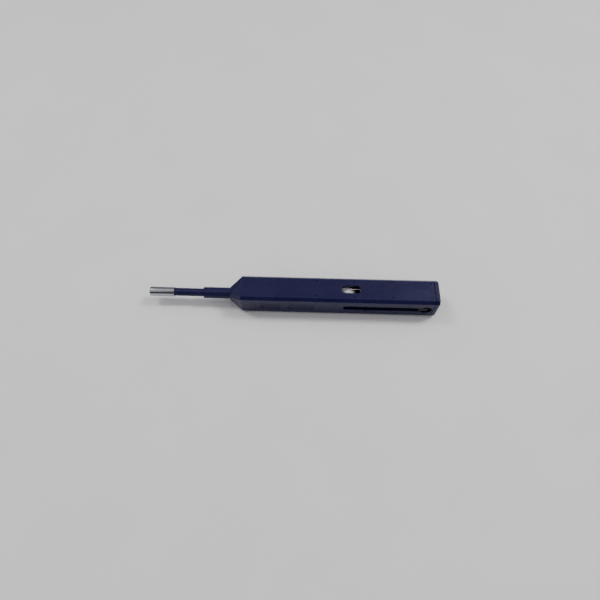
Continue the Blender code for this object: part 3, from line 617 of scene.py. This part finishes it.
def core_mesh(centre, half, outer, inner):
    """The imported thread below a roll's outer layers."""
    turn = [2 * pi * k / CORE_SIDES for k in range(CORE_SIDES)]
    rows = []
    for y, r in ring_profile(-half, half, outer, inner, CORE_EASE):
        rows.append([centre + Vector((r * cos(a), y, r * sin(a))) for a in turn])
    return grid_mesh("core", rows, True, lambda i, k: (k * MM, i * MM))


def middle_x(node):
    """A node's middle station."""
    low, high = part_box(node)
    return (low.x + high.x) / 2


def twisted(node, corners, radius, bend, step, twist):
    """A three-strand thread through a row of corners, in the place of a CAD node."""
    route = smooth_route([Vector(corner) for corner in corners], bend, step)
    mesh = swept(node + "_twist", route, radius, CORD_SIDES, STRANDS, twist)
    stand_in(node + "_twist", mesh, node)


def threads():
    """The fresh run, the used run and the loop over the tip.

    In the nozzle the fresh run lies below the axis and the used run above it. They bend apart at
    the guide pins and go to their reels. The used run passes to one side of the supply roll.
    """
    fresh_low, fresh_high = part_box("fresh_thread")
    used_low, used_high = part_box("used_thread")
    _, roll_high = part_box("takeup_thread_roll")
    aside = used_high.y - THREAD_R
    low_z = fresh_high.z - THREAD_R
    high_z = AXIS_Z * 2 - low_z
    fresh_z, used_z = fresh_low.z + THREAD_R, used_high.z - THREAD_R
    bend_x = middle_x("fresh_guide_pin") - 0.53 * MM
    entry_x = bend_x - 2.2 * MM
    aside_x = middle_x("supply_spool") - 6.0 * MM
    drop_x = middle_x("takeup_guide_pin") + 0.15 * MM
    reel_x = middle_x("takeup_spool") + 0.6 * MM
    fresh = [(fresh_high.x, 0, fresh_z), (bend_x, 0, fresh_z), (entry_x, 0, low_z),
             (fresh_low.x, 0, low_z)]
    used = [(used_low.x, 0, high_z), (entry_x, 0, high_z), (bend_x, 0.2 * MM, used_z),
            (aside_x, aside, used_z), (drop_x, aside, used_z),
            (reel_x, aside, roll_high.z + THREAD_R + 0.1 * MM)]
    twisted("fresh_thread", fresh, THREAD_R, BEND, STEP, TWIST)
    twisted("used_thread", used, THREAD_R, BEND, STEP, TWIST)
    twisted("tip_thread", tip_corners(), TIP_THREAD_R, TIP_BEND, TIP_STEP, TIP_TWIST)


def tip_corners():
    """Corners of the loop over the tip: back along the top, down the nose, the same below."""
    low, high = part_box("tip_thread")
    r = TIP_THREAD_R
    top = high.z - r
    upper = [(high.x, 0, top), (low.x + 1.15 * MM, 0, top),
             (low.x + 0.7 * MM, 0, top - 0.35 * MM),
             (low.x + r + 0.06 * MM, 0, AXIS_Z + 0.75 * MM), (low.x + r, 0, AXIS_Z + 0.4 * MM)]
    return upper + [(x, y, 2 * AXIS_Z - z) for x, y, z in reversed(upper)]


def build_pieces():
    """Every detailed piece, in the place of its CAD node."""
    for node, width in EASED.items():
        eased(node, width * MM)
    for node, ease in LIPS.items():
        tube(node, ease * MM)
    wound_roll("supply_thread_roll")
    wound_roll("takeup_thread_roll")
    threads()
    spring("return_spring", 0, RETURN_WIRE_R, RETURN_TURNS)
    spring("button_spring", 1, BUTTON_WIRE_R, BUTTON_TURNS)


# Stage

def floor_material():
    """Pale matt table top with the faintest mottling."""
    g = new_finish("table_top")
    cloud = g.noise(60 * MM, 3)
    tone = g.mix(g.band(cloud, 0.3, 0.7), TABLE, TABLE_PALE)
    return g.finish(tone, g.band(g.noise(5 * MM, 3), 0.3, 0.7, 0.60, 0.70), IOR=1.3)


def build_floor():
    """A large flat table."""
    mesh = bpy.data.meshes.new("table_top")
    reach = 3.0
    corners = [(-reach, -reach, 0), (reach, -reach, 0), (reach, reach, 0), (-reach, reach, 0)]
    mesh.from_pydata(corners, [], [(0, 1, 2, 3)])
    mesh.materials.append(floor_material())
    floor = bpy.data.objects.new("table_top", mesh)
    bpy.context.scene.collection.objects.link(floor)


def area_light(name, place, size, radiance):
    """A rectangular soft light aimed at the pen, set by how bright its face looks."""
    data = bpy.data.lights.new(name, "AREA")
    data.shape = "RECTANGLE"
    data.size, data.size_y = size
    data.energy = radiance * pi * size[0] * size[1]
    light = bpy.data.objects.new(name, data)
    light.location = place
    light.rotation_euler = (-Vector(place)).to_track_quat("-Z", "Y").to_euler()
    bpy.context.scene.collection.objects.link(light)


def build_lights():
    """Two keys and a weak strip overhead, four corner boxes, and a room brightest behind."""
    for side, name, key in KEYS:
        area_light(name + "_key", (0.62 * side, 0.30, 1.0), (0.25, 0.25), key)
        area_light(name + "_front", (0.9 * side, -0.75, 0.9), (0.8, 0.8), 0.8)
        area_light(name + "_back", (1.1 * side, 0.6, 0.85), (0.9, 0.9), 0.95)
    area_light("strip", (0, -0.14, 1.2), (1.8, 0.10), 2.4)
    bpy.context.scene.world = room()


def room():
    """A dim room: pale overhead and behind, dark in front, with a pale horizon all round."""
    g = Graph(bpy.data.worlds.new("room"), "Background", "Generated")
    _, back, up = g.split()
    overhead = g.math("MULTIPLY", g.band(up, *OVERHEAD), g.band(back, *OVERHEAD_BACK))
    horizon = g.math("MULTIPLY", g.band(up, *HORIZON), g.band(back, *HORIZON_BACK))
    g.shader.inputs["Color"].default_value = (0.96, 0.96, 0.98, 1)
    g.link(g.math("MAXIMUM", overhead, horizon), g.shader.inputs["Strength"])
    return g.owner


def build_camera():
    """The view from the front and well above, a little off square."""
    turn = Matrix.Rotation(YAW, 3, "Z")
    centre = Vector((AIM_X, 0, 0))
    eye = turn @ Vector((0, AIM_Y - DISTANCE * cos(PITCH), DISTANCE * sin(PITCH))) + centre
    aim = turn @ Vector((0, AIM_Y, 0)) + centre
    data = bpy.data.cameras.new("camera")
    data.lens = LENS
    data.sensor_width = SENSOR
    data.clip_start = 0.01
    camera = bpy.data.objects.new("camera", data)
    camera.location = eye
    camera.rotation_euler = (aim - eye).to_track_quat("-Z", "Y").to_euler()
    bpy.context.scene.collection.objects.link(camera)
    bpy.context.scene.camera = camera


def main():
    """Finishes, pieces and stage."""
    paint_nodes()
    build_pieces()
    build_floor()
    build_lights()
    build_camera()


main()
